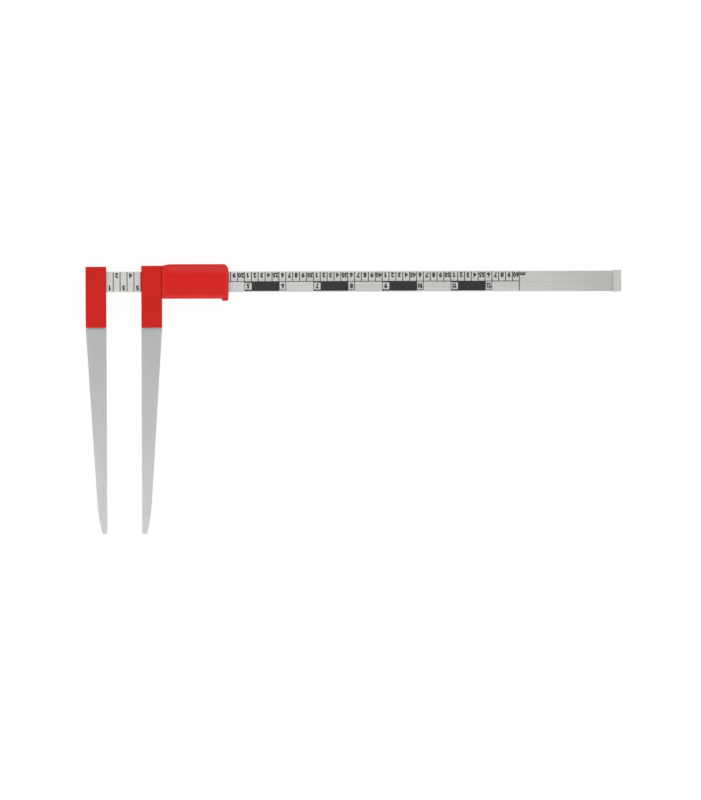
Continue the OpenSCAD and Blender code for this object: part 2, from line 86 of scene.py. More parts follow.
def mottle(tree, place, size, detail=2.0):
    """Noise from 0 to 1 whose grains measure size, three lengths in mm, along the object's axes.
    The middle of the noise's range, where nearly all of it lies, is spread over the whole."""
    grains = add_node(tree, "Mapping", {"Vector": place, "Scale": [1 / (length * MM) for length in size]})
    noise = add_node(tree, "TexNoise", {"Vector": grains, "Scale": 1.0, "Detail": detail})
    return add_node(tree, "MapRange", {"Value": noise, "From Min": 0.3, "From Max": 0.7})


def dress(material, *nodes):
    """Gives CAD nodes a material in place of the one that they were packed with."""
    for node in nodes:
        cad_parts[node].material_slots[0].material = material


# Clear anodised aluminium: a matt grey metal with faint die lines along the extrusion and a cloudy tone.
# Towards the free end its colour darkens: painted shade, standing in for light that falls off there. The
# lines spread its sheen across the beam.
# Die lines of about 0.2 mm are drawn 1.8 mm apart, so that they show in the render.
anodised, tree, place = start_material("clear_anodised_aluminium")
die_lines = mottle(tree, place, (240, 1.8, 1.8))
clouds = mottle(tree, place, (60, 22, 22))
along = add_node(tree, "SeparateXYZ", {"Vector": place})
# Painted shade: the colour darkens over this span, from the lighter tone to the darker one towards the free
# end.
painted_shade = add_node(tree, "MapRange", {"Value": along, "From Min": painted_shade_x[0], "From Max": painted_shade_x[1]})
unshaded_tone = add_node(tree, "Mix", {"Factor_Float": clouds, "A_Color": linear("#e2e3df"),
                               "B_Color": linear("#e8e8e5")}, data_type="RGBA")
tone = add_node(tree, "Mix", {"Factor_Float": painted_shade, "A_Color": unshaded_tone,
                              "B_Color": linear("#d4d6d1")}, data_type="RGBA")
gloss = add_node(tree, "Mix", {"Factor_Float": die_lines, "A_Float": 0.48, "B_Float": 0.58})
grain = add_node(tree, "Bump", {"Height": die_lines, "Strength": 0.1, "Distance": grain_depth})
drawn = add_node(tree, "Tangent", direction_type="RADIAL", axis="X")
shader = add_node(tree, "BsdfPrincipled", {"Base Color": tone, "Metallic": 1.0, "Roughness": gloss,
                                           "Normal": grain, "Tangent": drawn, "Anisotropic": 0.4})
add_node(tree, "OutputMaterial", {"Surface": shader})
dress(anodised, "beam")

# Mill-finish aluminium: brighter and streaky, as sawn and drawn stock is, for what stays inside.
mill_finish, tree, place = start_material("mill_finish_aluminium")
streaks = mottle(tree, place, (30, 1.2, 1.2), detail=4.0)
tone = add_node(tree, "Mix", {"Factor_Float": streaks, "A_Color": linear("#c9cbcb"),
                              "B_Color": linear("#dcdedd")}, data_type="RGBA")
gloss = add_node(tree, "Mix", {"Factor_Float": streaks, "A_Float": 0.28, "B_Float": 0.42})
grain = add_node(tree, "Bump", {"Height": streaks, "Strength": 0.2, "Distance": grain_depth})
shader = add_node(tree, "BsdfPrincipled", {"Base Color": tone, "Metallic": 1.0, "Roughness": gloss,
                                           "Normal": grain})
add_node(tree, "OutputMaterial", {"Surface": shader})
dress(mill_finish, "beam_insert", "carriage")

# Printed scale: black screen ink on the beam's face, turned so that it reads from the beam's other side.
# Up to 10 cm whole lines part the centimetres; from there a row of classes of 5 cm runs below them,
# black and bare in turn, each with its number in a cell at its start. Sizes are in mm.
zero_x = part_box("fixed_blade")[1].x
beam_low, beam_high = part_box("beam")
beam_y = (beam_low.y + beam_high.y) / 2
ink_z = (beam_high.z, beam_high.z + 0.03 * MM)
centimetre = 10
line_w = 1.2
thin_w = 1.0
top_y = 14.0
foot_y = -13.6
row_y = 0.1
row_cm = 10
last_cm = 60
class_cm = 5
whole_cm = 5
cell_x = (0.9, 10.4)
cell_y = (-11.6, -1.6)
figure_size = {1: (4.7, 7.5), 2: (4.3, 7.5)}
figure_back = 4.9
upper_y = 9.2
lower_y = -8.7
class_place = (5.4, -6.4)
unit_size = (3.6, 6.4)
unit_place = (5.3, 9.7)
type_weight = 0.055
type_half = 0.5
type_gap = 0.15
weld_reach = 0.002 * MM
least_edge = 0.001 * MM
sharp_turn = radians(35)


def film(areas):
    """Vertices and faces of ink over areas x0, x1, y0, y1 in mm from the scale's zero, joined into one.
    All their sides draw one grid. A cell under any area gets a top, a bottom and a wall on each bare side."""
    areas = np.round(areas, 6)
    xs, ys = np.unique(areas[:, :2]), np.unique(areas[:, 2:])
    mid_x, mid_y = (xs[:-1] + xs[1:]) / 2, (ys[:-1] + ys[1:]) / 2
    in_x = (areas[:, 0:1] < mid_x) & (mid_x < areas[:, 1:2])
    in_y = (areas[:, 2:3] < mid_y) & (mid_y < areas[:, 3:4])
    inked = np.pad(in_x.T.astype(int) @ in_y > 0, 1)
    low = np.arange(len(xs) * len(ys)).reshape(len(xs), len(ys))
    top = low + low.size
    i, j = np.nonzero(inked[1:-1, 1:-1])
    faces = [[layer[i, j], layer[i + 1, j], layer[i + 1, j + 1], layer[i, j + 1]] for layer in (low, top)]
    i, j = np.nonzero(inked[1:, 1:-1] != inked[:-1, 1:-1])
    faces += [[low[i, j], low[i, j + 1], top[i, j + 1], top[i, j]]]
    i, j = np.nonzero(inked[1:-1, 1:] != inked[1:-1, :-1])
    faces += [[low[i, j], low[i + 1, j], top[i + 1, j], top[i, j]]]
    used, faces = np.unique(np.hstack(faces).T, return_inverse=True)
    grid = np.meshgrid(zero_x + xs * MM, beam_y + ys * MM, ink_z, indexing="ij")
    points = np.stack(grid, axis=-1).reshape(-1, 2, 3).swapaxes(0, 1).reshape(-1, 3)
    return points[used], faces.reshape(-1, 4).tolist()


def skin(grid):
    """Vertices and faces of a grid of points: a quad between each two neighbours along rows and columns.
    Each row closes on itself, and the first and last rows are filled."""
    rows, columns = grid.shape[:2]
    index = np.arange(rows * columns).reshape(rows, columns)
    ends = [index[0].tolist(), index[-1].tolist()]
    index = np.hstack([index, index[:, :1]])
    quads = np.stack([index[:-1, :-1], index[:-1, 1:], index[1:, 1:], index[1:, :-1]], axis=-1)
    return grid.reshape(-1, 3), quads.reshape(-1, 4).tolist() + ends


def figure(letters):
    """Vertices and faces of letters in a plain sans, made bold, as thick solids in the type's own units.
    The outline is the type's, moved outward by the weight."""
    outline = bpy.data.curves.new("figure", "FONT")
    outline.body = letters
    outline.offset = type_weight
    outline.extrude = type_half
    outline.resolution_u = 3
    setting = bpy.data.objects.new("figure", outline)
    mesh = bpy.data.meshes.new_from_object(setting)
    points = np.empty(3 * len(mesh.vertices))
    mesh.vertices.foreach_get("co", points)
    faces = [list(face.vertices) for face in mesh.polygons]
    bpy.data.curves.remove(outline)
    bpy.data.meshes.remove(mesh)
    return points.reshape(-1, 3), faces


def set_type(letters, x, y, size):
    """Figures of ink with their middle at x, y in mm on the scale, turned half round and set a gap apart.
    Each is stretched as a nought is to fill its size, a width and a height in mm."""
    nought = types["0"][0][:, :2]
    nought_low, nought_high = nought.min(axis=0), nought.max(axis=0)
    stretch = size / (nought_high - nought_low)
    widths = np.array([np.ptp(types[letter][0][:, 0]) * stretch[0] for letter in letters])
    places = np.cumsum(widths + type_gap) - widths / 2 - type_gap
    row_w = widths.sum() + (len(letters) - 1) * type_gap
    parts = []
    for letter, place in zip(letters, places - row_w / 2):
        points, faces = types[letter]
        middle = ((points[:, 0].min() + points[:, 0].max()) / 2, (nought_low[1] + nought_high[1]) / 2)
        flat = (x - place, y) - (points[:, :2] - middle) * stretch
        z = np.where(points[:, 2] > 0, ink_z[1], ink_z[0])
        parts.append((np.column_stack([flat * MM + (zero_x, beam_y), z]), faces))
    return parts


def clean(mesh):
    """Welds a mesh's doubles, drops what has no size, and turns its faces outward."""
    shape = bmesh.new()
    shape.from_mesh(mesh)
    bmesh.ops.remove_doubles(shape, verts=shape.verts, dist=weld_reach)
    bmesh.ops.dissolve_degenerate(shape, edges=shape.edges, dist=least_edge)
    bmesh.ops.recalc_face_normals(shape, faces=shape.faces)
    shape.to_mesh(mesh)
    shape.free()
    return mesh


def make_mesh(name, parts):
    """One mesh of several parts' vertices and faces."""
    starts = np.cumsum([0] + [len(points) for points, _ in parts])
    faces = [[i + start for i in face] for (_, part), start in zip(parts, starts) for face in part]
    mesh = bpy.data.meshes.new(name)
    mesh.from_pydata(np.concatenate([points for points, _ in parts]).tolist(), [], faces)
    return clean(mesh)


def make_piece(mesh, material, body):
    """Makes a mesh a piece that rides on a body, smooth but for the edges where its faces turn sharply."""
    mesh.polygons.foreach_set("use_smooth", np.ones(len(mesh.polygons), bool))
    mesh.set_sharp_from_angle(angle=sharp_turn)
    mesh.materials.clear()
    mesh.materials.append(material)
    piece = bpy.data.objects.new(mesh.name, mesh)
    bpy.context.scene.collection.objects.link(piece)
    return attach(piece, body)


# Screen ink: a matt black film that the sun and hands have greyed a little, thinner here and there.
ink, tree, place = start_material("black_screen_ink")
thin = mottle(tree, place, (3, 3, 3), detail=4.0)
tone = add_node(tree, "Mix", {"Factor_Float": thin, "A_Color": linear("#262728"),
                              "B_Color": linear("#333435")}, data_type="RGBA")
gloss = add_node(tree, "Mix", {"Factor_Float": thin, "A_Float": 0.5, "B_Float": 0.65})
shader = add_node(tree, "BsdfPrincipled", {"Base Color": tone, "Roughness": gloss,
                                           "Specular IOR Level": 0.3})
add_node(tree, "OutputMaterial", {"Surface": shader})

row_x = (centimetre * row_cm, centimetre * last_cm)
row_top = row_y - thin_w / 2
lines = [(centimetre * cm - line_w / 2, centimetre * cm + line_w / 2,
          row_y if row_cm <= cm < last_cm else foot_y, top_y) for cm in range(1, last_cm + 1)]
lines += [(row_x[0] - line_w / 2, row_x[1] + line_w / 2, row_top, row_y + thin_w / 2)]
lines += [(row_x[0] - line_w / 2, row_x[0], foot_y, row_y)]
class_blocks = []
class_len = centimetre * class_cm
classes = range(row_cm // class_cm + 1, last_cm // class_cm + 1)
for number in classes:
    x0, x1 = class_len * (number - 1), class_len * number
    if number % 2:
        class_blocks += [(x0, x0 + cell_x[0], foot_y, row_top), (x0 + cell_x[1], x1, foot_y, row_top)]
        class_blocks += [(x0, x1, foot_y, cell_y[0]), (x0, x1, cell_y[1], row_top)]
    else:
        lines += [(x0, x0 + cell_x[1], cell_y[0] - thin_w, cell_y[0])]
        lines += [(x0, x0 + thin_w, cell_y[0] - thin_w, row_y)]
        lines += [(x0 + cell_x[1] - thin_w, x0 + cell_x[1], cell_y[0] - thin_w, row_y)]

# The sans has a bare bar for a one, so one with a flag is drawn here, in the type's units.
one = np.array([(-0.11, -0.06), (0.11, -0.06), (0.11, 0.74), (-0.05, 0.74),
                (-0.25, 0.6), (-0.25, 0.41), (-0.11, 0.49)])
types = {letters: figure(letters) for letters in ("0", "2", "3", "4", "5", "6", "7", "8", "9", "cm")}
types["1"] = skin(np.stack([np.column_stack([one, np.full(len(one), z)]) for z in (-type_half, type_half)]))

# Up to the classes, figures stand low and high in turn. Beyond, only each fifth centimetre has its tens.
figures = [(str(cm), centimetre * cm - figure_back, lower_y if cm % 2 else upper_y)
           for cm in range(1, row_cm)]
figures += [(str(cm if cm % whole_cm == 0 else cm % 10), centimetre * cm - figure_back, upper_y)
            for cm in range(row_cm, last_cm + 1)]
figures += [(str(number), class_len * (number - 1) + class_place[0], class_place[1]) for number in classes]
words = [part for letters, x, y in figures for part in set_type(letters, x, y, figure_size[len(letters)])]
words += set_type(["cm"], row_x[1] + unit_place[0], unit_place[1], unit_size)
prints = {"scale_lines": [film(lines)], "scale_classes": [film(class_blocks)], "scale_numerals": words}
for name, parts in prints.items():
    make_piece(make_mesh(name, parts), ink, "beam_assembly")

# End cap: a grey moulded block with a plug inside the beam, held by a countersunk screw from behind.
# It stops the slider and keeps dirt out of the beam.
# Moulded ABS: a pale grey with a fine satin grain of about 0.3 mm, drawn 1.5 mm wide to show in the render.
cap_plastic, tree, place = start_material("grey_moulded_abs")
clouds = mottle(tree, place, (9, 9, 9))
eroded = mottle(tree, place, (1.5, 1.5, 1.5), detail=3.0)
tone = add_node(tree, "Mix", {"Factor_Float": clouds, "A_Color": linear("#c1c2bd"),
                              "B_Color": linear("#c6c7c2")}, data_type="RGBA")
gloss = add_node(tree, "Mix", {"Factor_Float": eroded, "A_Float": 0.4, "B_Float": 0.52})
grain = add_node(tree, "Bump", {"Height": eroded, "Strength": 0.15, "Distance": grain_depth})
shader = add_node(tree, "BsdfPrincipled", {"Base Color": tone, "Roughness": gloss, "Normal": grain,
                                           "IOR": 1.53, "Specular IOR Level": 0.3})
add_node(tree, "OutputMaterial", {"Surface": shader})
dress(cap_plastic, "end_cap")

# Screws and nuts: zinc-plated steel, turned and cold headed. Screws go in from behind, so that the front
# stays clean, and the two adjusters from above, into nuts on the carriage.
# The plating is bluish and soft, with paler and duller patches.
zinc, tree, place = start_material("zinc_plated_steel")
patches = mottle(tree, place, (2.5, 2.5, 2.5), detail=3.0)
tone = add_node(tree, "Mix", {"Factor_Float": patches, "A_Color": linear("#a9adb1"),
                              "B_Color": linear("#c3c6c8")}, data_type="RGBA")
gloss = add_node(tree, "Mix", {"Factor_Float": patches, "A_Float": 0.26, "B_Float": 0.42})
shader = add_node(tree, "BsdfPrincipled", {"Base Color": tone, "Metallic": 1.0, "Roughness": gloss})
add_node(tree, "OutputMaterial", {"Surface": shader})
dress(zinc, "end_cap_screw", "fixed_head_screws", "fixed_blade_screws", "sliding_head_screws",
      "sliding_blade_screws", "grip_screws", "adjuster_nuts", "jaw_side_adjuster", "end_side_adjuster")

# Heads: thick red blocks, moulded in ABS, that hold the blades' tangs; one is fixed and one slides.
# Their faces are spark eroded to a fine satin grain, and their edges are broken by a small round.
# Grain of about 0.3 mm is drawn 1.5 mm wide, so that it shows in the render.
head_plastic, tree, place = start_material("red_moulded_abs")
clouds = mottle(tree, place, (26, 40, 26))
eroded = mottle(tree, place, (1.5, 1.5, 1.5), detail=3.0)
tone = add_node(tree, "Mix", {"Factor_Float": clouds, "A_Color": linear("#c21f1a"),
                              "B_Color": linear("#c8231d")}, data_type="RGBA")
gloss = add_node(tree, "Mix", {"Factor_Float": eroded, "A_Float": 0.45, "B_Float": 0.58})
grain = add_node(tree, "Bump", {"Height": eroded, "Strength": 0.12, "Distance": grain_depth})
shader = add_node(tree, "BsdfPrincipled", {"Base Color": tone, "Roughness": gloss, "Normal": grain,
                                           "IOR": 1.53, "Specular IOR Level": 0.12})
add_node(tree, "OutputMaterial", {"Surface": shader})
dress(head_plastic, "fixed_head", "sliding_head")

# Blades: tapered aluminium bars, milled and brushed lengthwise, with a tang in the head's pocket.
# Two screws from behind hold the tang. The straight inner edges are the measuring faces, and every edge
# is broken by a small round.
edge_r = 0.15 * MM
nose_len = 26 * MM
nose_w = 12.9 * MM
tip_w = 7.2 * MM
nose_blend = 22 * MM
tang_inset = (4 * MM, 1 * MM)
tang_bite = 0.5 * MM
tang_r = 0.4 * MM
tang_screw_d = 4.2 * MM
tang_screw_head_d = 7 * MM
tang_screw_room = 0.4 * MM
blade_z = (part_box("fixed_blade")[0].z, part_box("fixed_blade")[1].z)
edge_rows = 5
tip_rows = 13
nose_rows = 24
taper_rows = 30
edge_shrink = 0.95
corner_steps = 5
rod_sides = 32


def rounded_sections(u0, u1, v0, v1, r):
    """Rounded rectangles, one for each entry of the arrays: four corner arcs of a few segments in turn.
    A point is its corner's centre plus r times the cosine and sine of its angle."""
    angles = (np.arange(4)[:, None] - 1 + np.linspace(0, 1, corner_steps + 1)) * pi / 2
    u0, u1, v0, v1, r = (np.atleast_1d(a)[:, None, None] for a in np.broadcast_arrays(u0, u1, v0, v1, r))
    high_u = np.array([1, 1, 0, 0])[None, :, None]
    high_v = np.array([0, 1, 1, 0])[None, :, None]
    u = np.where(high_u, u1 - r, u0 + r) + r * np.cos(angles)
    v = np.where(high_v, v1 - r, v0 + r) + r * np.sin(angles)
    return np.stack([u.reshape(len(u), -1), v.reshape(len(v), -1)], axis=-1)


def round_inset(depth, r):
    """How far a round of radius r takes a side back, at a depth below the end that it rounds off."""
    return r - np.sqrt(r ** 2 - np.clip(r - depth, 0, r) ** 2)


def carve(name, base, added, cut):
    """One mesh of a closed part with others joined to it, and then others cut out of it, in turn."""
    solids = [bpy.data.objects.new("solid", make_mesh("solid", [part])) for part in [base, *added, *cut]]
    operations = ["UNION"] * len(added) + ["DIFFERENCE"] * len(cut)
    for tool, operation in zip(solids[1:], operations):
        boolean = solids[0].modifiers.new("carve", "BOOLEAN")
        boolean.operation = operation
        boolean.solver = "EXACT"
        boolean.object = tool
    for solid in solids:
        bpy.context.scene.collection.objects.link(solid)
    carved = bpy.data.meshes.new_from_object(solids[0].evaluated_get(bpy.context.evaluated_depsgraph_get()))
    for mesh in [solid.data for solid in solids]:
        bpy.data.meshes.remove(mesh)
    carved.name = name
    return clean(carved)


def blade_skin(face_x, side, root_y, tip_y, root_w, tip_r):
    """Blade from its tip to its root: rounded rectangles across it, as wide as the taper leaves.
    The width grows along two straight lines joined by a parabola, less the round of the tip's corner.
    Both ends draw in by the round of their edges, and the corners shrink with them, not quite to nought."""
    length = root_y - tip_y
    near_tip = tip_r * (1 - np.cos(np.linspace(0, pi / 2, tip_rows)))
    broken = edge_r * (1 - np.cos(np.linspace(0, pi / 2, edge_rows)))
    up = np.concatenate([broken, near_tip, np.linspace(tip_r, nose_len + nose_blend, nose_rows),
                         np.linspace(nose_len + nose_blend, length - edge_r, taper_rows), length - broken])
    up = np.unique(np.round(up, 9))
    slope = (root_w - nose_w) / (length - nose_len)
    steeper = (nose_w - tip_w) / nose_len - slope
    below_nose = np.clip(nose_len + nose_blend - up, 0, 2 * nose_blend)
    taper = nose_w + slope * (up - nose_len) - steeper * below_nose ** 2 / (4 * nose_blend)
    width = taper - round_inset(up, tip_r)
    inset = round_inset(np.minimum(up, length - up), edge_r)
    section = rounded_sections(inset, width - inset, blade_z[0] + inset, blade_z[1] - inset,
                               edge_r - edge_shrink * inset)
    y = np.broadcast_to((tip_y + up)[:, None], section.shape[:2])
    return skin(np.stack([face_x + side * section[..., 0], y, section[..., 1]], axis=-1))


def tang_skin(x0, x1, y0, y1, z0, z1):
    """Tang inside a head: one rounded rectangle carried straight up from the blade's root."""
    section = rounded_sections(np.full(2, x0), x1, z0, z1, tang_r)
    y = np.broadcast_to([[y0], [y1]], section.shape[:2])
    return skin(np.stack([section[..., 0], y, section[..., 1]], axis=-1))


def rod(middle, axis, reach, d):
    """A closed cylinder of diameter d through a point, along one axis and over that axis's reach."""
    turn = np.linspace(0, 2 * pi, rod_sides, endpoint=False)
    ring = np.empty((2, rod_sides, 3))
    ring[...] = middle
    ring[..., (axis + 1) % 3] += d / 2 * np.cos(turn)
    ring[..., (axis + 2) % 3] += d / 2 * np.sin(turn)
    ring[..., axis] = np.array(reach)[:, None]
    return skin(ring)


# Satin aluminium: brushed along the blade, so that it glows evenly across it with faint lengthwise streaks.
# Brush marks of about 0.1 mm are drawn 1.5 mm apart, so that they show in the render.
satin, tree, place = start_material("satin_brushed_aluminium")
brush = mottle(tree, place, (1.5, 130, 1.5), detail=3.0)
clouds = mottle(tree, place, (14, 60, 14))
tone = add_node(tree, "Mix", {"Factor_Float": clouds, "A_Color": linear("#d6d7d8"),
                              "B_Color": linear("#dadbdb")}, data_type="RGBA")
gloss = add_node(tree, "Mix", {"Factor_Float": brush, "A_Float": 0.48, "B_Float": 0.55})
grain = add_node(tree, "Bump", {"Height": brush, "Strength": 0.06, "Distance": grain_depth})
brushed = add_node(tree, "Tangent", direction_type="RADIAL", axis="Y")
shader = add_node(tree, "BsdfPrincipled", {"Base Color": tone, "Metallic": 1.0, "Roughness": gloss,
                                           "Normal": grain, "Tangent": brushed, "Anisotropic": 0.8})
add_node(tree, "OutputMaterial", {"Surface": shader})

for node, head, body, side, tip_r in (("fixed_blade", "fixed_head", "beam_assembly", -1, 3.6 * MM),
                                      ("sliding_blade", "sliding_head", "sliding_jaw", 1, 0.8 * MM)):
    low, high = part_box(node)
    root_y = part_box(head)[0].y
    bar = blade_skin(high.x if side < 0 else low.x, side, root_y, low.y, high.x - low.x, tip_r)
    tang = tang_skin(low.x + tang_inset[0], high.x - tang_inset[0], root_y - tang_bite, high.y,
                     low.z + tang_inset[1], high.z - tang_inset[1])
    screws_low, screws_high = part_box(node + "_screws")
    holes = [rod(((low.x + high.x) / 2, y, 0), 2, (low.z, screws_high.z + tang_screw_room), tang_screw_d)
             for y in (screws_low.y + tang_screw_head_d / 2, screws_high.y - tang_screw_head_d / 2)]
    blade = make_piece(carve(node + "_bar", bar, [tang], holes), satin, body)
    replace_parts(blade, node)

# Guides inside the slider: acetal pads pegged into the carriage, a gib strip, and a bush round the beam.
# They are milled from white rod and strip, so they are dull and a little waxy.
acetal, tree, place = start_material("machined_acetal")
clouds = mottle(tree, place, (5, 5, 5), detail=3.0)
tone = add_node(tree, "Mix", {"Factor_Float": clouds, "A_Color": linear("#e4e1d7"),
                              "B_Color": linear("#efece4")}, data_type="RGBA")
gloss = add_node(tree, "Mix", {"Factor_Float": clouds, "A_Float": 0.35, "B_Float": 0.5})
shader = add_node(tree, "BsdfPrincipled", {"Base Color": tone, "Roughness": gloss, "IOR": 1.48})
add_node(tree, "OutputMaterial", {"Surface": shader})
dress(acetal, "lower_glide_pads", "front_glide_pads", "rear_glide_pads", "gib", "mouth_bush")

# Leaf spring over the gib: a strip of spring steel, bent into two waves and blued by its hardening.
# The blueing leaves a dark satin metal, streaked along the strip.
blued, tree, place = start_material("blued_spring_steel")
streaks = mottle(tree, place, (12, 2, 2), detail=3.0)
tone = add_node(tree, "Mix", {"Factor_Float": streaks, "A_Color": linear("#4b5058"),
                              "B_Color": linear("#6a7078")}, data_type="RGBA")
gloss = add_node(tree, "Mix", {"Factor_Float": streaks, "A_Float": 0.25, "B_Float": 0.4})
shader = add_node(tree, "BsdfPrincipled", {"Base Color": tone, "Metallic": 1.0, "Roughness": gloss})
add_node(tree, "OutputMaterial", {"Surface": shader})
dress(blued, "gib_spring")

# Grip: two moulded shells of red polypropylene that clamp the carriage, screwed together from behind.
# The front is domed, with a broad bevel along its top, and a lip for the finger hangs from the free end.
# Sizes are in mm from the head's face, the beam's middle and the rear.
grip_origin = (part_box("sliding_head")[1].x, beam_y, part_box("grip_rear_shell")[0].z)
lip_drop = 3.3
lip_w = 9.5
lip_inset = 0.6
lip_margin = 4.0
lip_root = 4.0
lip_r = 2.6
lip_end_r = 1.2
bow_r = 600
bow_reach = 20
crown = 0.35
groove = 0.3
rear_r = 2.5
fit_gap = 0.1
mouth_gap = 0.5
tip_room = 0.4
screw_d = 3.2
screw_head_d = 5.25
screw_head_z = 2.35
tongue_x = (-4, 1)
tongue_y = (-22.65, -20.25)
tongue_reach = 5
pocket_x = (6, 79.1)
pocket_y = (-14, 11)
pocket_z = 22.4
pocket_count = 3
rib_w = 2
ridge_inset = 16
cut_past = 1
mouth_past = 2.5
mouth_into = 0.5
nut_below = 0.3
bevel_rows = 15
lip_rows = 6
side_steps = (24, 8, 16, 12, 24, 10, 16, 6)


def block(x0, x1, y0, y1, z0, z1):
    """Vertices and faces of a closed block: a corner's three bits pick the low or high end on each axis."""
    bits = (np.arange(8)[:, None] >> np.arange(3)) & 1
    ends = np.array([(x0, x1), (y0, y1), (z0, z1)], float)
    faces = [[0, 2, 3, 1], [4, 5, 7, 6], [0, 1, 5, 4], [2, 6, 7, 3], [0, 4, 6, 2], [1, 3, 7, 5]]
    return ends[np.arange(3), bits], faces


def grip_box(node):
    """Lowest and highest corners of a node in mm from the grip's origin."""
    return [(np.array(corner) - grip_origin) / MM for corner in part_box(node)]


grip_low, grip_high = grip_box("grip_front_shell")
parting_z = grip_low[2]
front_z = grip_high[2]
grip_x = (fit_gap, grip_high[0])
grip_y = (grip_low[1] + lip_drop, grip_high[1])


def grip_outline(inset, low_r, end_r, shoulder):
    """Outline of the grip seen from the front, anticlockwise from its lower side, with each side set in.
    Four sides are joined by three quarter ellipses and by a parabola, which is the shoulder at the head.
    The free end bows along a parabola that follows a large circle."""
    head, end, low, top = inset
    x0, x1 = grip_x[0] + head, grip_x[1] - end
    y0, y1 = grip_y[0] + low, grip_y[1] - top
    u = [np.linspace(0, 1, n, endpoint=False) for n in side_steps]
    turn = [part * pi / 2 for part in u]
    length, drop = shoulder
    x = np.concatenate([x0 + low_r + u[0] * (x1 - x0 - 2 * low_r), x1 - low_r + low_r * np.sin(turn[1]),
                        np.full(side_steps[2], x1), x1 - end_r[0] + end_r[0] * np.cos(turn[3]),
                        x1 - end_r[0] + u[4] * (x0 + length - x1 + end_r[0]), x0 + length * (1 - u[5]),
                        np.full(side_steps[6], x0), x0 + low_r * (1 - np.cos(turn[7]))])
    y = np.concatenate([np.full(side_steps[0], y0), y0 + low_r * (1 - np.cos(turn[1])),
                        y0 + low_r + u[2] * (y1 - end_r[1] - y0 - low_r),
                        y1 - end_r[1] * (1 - np.sin(turn[3])),
                        np.full(side_steps[4], y1), y1 - drop * u[5] ** 2,
                        y1 - drop + u[6] * (y0 + low_r - y1 + drop), y0 + low_r * (1 - np.sin(turn[7]))])
    bow = (y - (grip_y[0] + grip_y[1]) / 2) ** 2 / (2 * bow_r)
    return np.column_stack([x - bow * np.clip((x - x1 + bow_reach) / bow_reach, 0, 1), y])


def around(values):
    """Values at the joints of the outline's sides, back to the first, spread evenly along each side."""
    return np.interp(np.arange(sum(side_steps)), np.cumsum((0,) + side_steps), values)


def loft(first, last, across, z):
    """Rows of points from one outline to another: each lies its share across the way, at its heights z."""
    flat = first + (last - first) * across[..., None]
    return np.dstack([flat, np.broadcast_to(z, flat.shape[:2])])


# The outlines of the side, the groove where the shells part, the rear face and the dome's face.
grip_side = grip_outline(inset=(0, 0, 0, 0), low_r=1.6, end_r=(7.6, 9.6), shoulder=(15.0, 2.3))
grip_seam = grip_outline(inset=[groove] * 4, low_r=1.6, end_r=(7.6, 9.6), shoulder=(15.0, 2.3))
grip_rear = grip_outline(inset=[rear_r] * 4, low_r=1.0, end_r=(5.4, 7.4), shoulder=(13.0, 2.2))
grip_face = grip_outline(inset=(5.5, 6.5, 8.0, 14.5), low_r=2.5, end_r=(5.0, 4.0), shoulder=(14.0, 3.5))
face_mid = grip_face.copy()
face_mid[:, 0] = np.clip(face_mid[:, 0], grip_face[:, 0].min() + ridge_inset,
                         grip_face[:, 0].max() - ridge_inset)
face_mid[:, 1] = (grip_face[:, 1].min() + grip_face[:, 1].max()) / 2

# A bevel goes in by 1 - cos(t)^n and down by 1 - sin(t)^n: a round where n is 1, a flat chamfer where it
# is 2. Inside it the face rises to its ridge by the crown, as a parabola does.
bevel_z = around((4.0, 4.0, 4.4, 4.4, 8.0, 8.0, 2.2, 2.2, 4.0))
bevel_n = around((1.0, 1.0, 1.1, 1.1, 1.45, 1.45, 1.1, 1.1, 1.0))
turn = np.linspace(0, pi / 2, bevel_rows)[:, None]
edge = np.array([[0.0], [1.0]])
inward = np.array([[0.15], [0.4], [0.7]])
dome = np.concatenate([
    loft(grip_seam, grip_side, edge, parting_z + groove * edge),
    loft(grip_side, grip_face, 1 - np.cos(turn) ** bevel_n,
         front_z - crown - bevel_z * (1 - np.sin(turn) ** bevel_n)),
    loft(grip_face, face_mid, inward, front_z - crown * (1 - inward) ** 2),
])
tray = np.concatenate([
    loft(grip_seam, grip_side, edge, parting_z - groove * edge),
    loft(grip_side, grip_rear, 1 - np.cos(turn[::2]), rear_r * (1 - np.sin(turn[::2]))),
])


def lip_skin(z0, z1, round_low, round_high):
    """Finger lip: rounded rectangles stacked from z0 to z1, drawn in where its ends are rounded."""
    quarter = 1 - np.cos(np.linspace(0, pi / 2, lip_rows))
    z = np.unique(np.concatenate([z0 + round_low * quarter, z1 - round_high * quarter]))
    inset = np.maximum(round_inset(z - z0, round_low), round_inset(z1 - z, round_high))
    x1 = grip_x[1] - lip_inset
    section = rounded_sections(x1 - lip_w + inset, x1 - inset,
                               grip_y[0] - lip_drop + inset, grip_y[0] + lip_root, lip_r)
    return skin(np.dstack([section, np.broadcast_to(z[:, None], section.shape[:2])]))


def on_grip(part):
    """A part in mm from the grip's origin, placed in the frame in metres."""
    points, faces = part
    return points * MM + np.array(grip_origin), faces


# Moulded polypropylene: a deep even red, finely grained by the mould, with a soft broad sheen on its rounds.
# Grain of about 0.3 mm is drawn 1.6 mm wide, so that it shows in the render.
grip_plastic, tree, place = start_material("red_moulded_polypropylene")
clouds = mottle(tree, place, (40, 22, 22))
eroded = mottle(tree, place, (1.6, 1.6, 1.6), detail=3.0)
tone = add_node(tree, "Mix", {"Factor_Float": clouds, "A_Color": linear("#cd0d06"),
                              "B_Color": linear("#d31108")}, data_type="RGBA")
gloss = add_node(tree, "Mix", {"Factor_Float": eroded, "A_Float": 0.36, "B_Float": 0.48})
grain = add_node(tree, "Bump", {"Height": eroded, "Strength": 0.1, "Distance": grain_depth})
shader = add_node(tree, "BsdfPrincipled", {"Base Color": tone, "Roughness": gloss, "Normal": grain,
                                           "IOR": 1.49, "Specular IOR Level": 0.4})
add_node(tree, "OutputMaterial", {"Surface": shader})

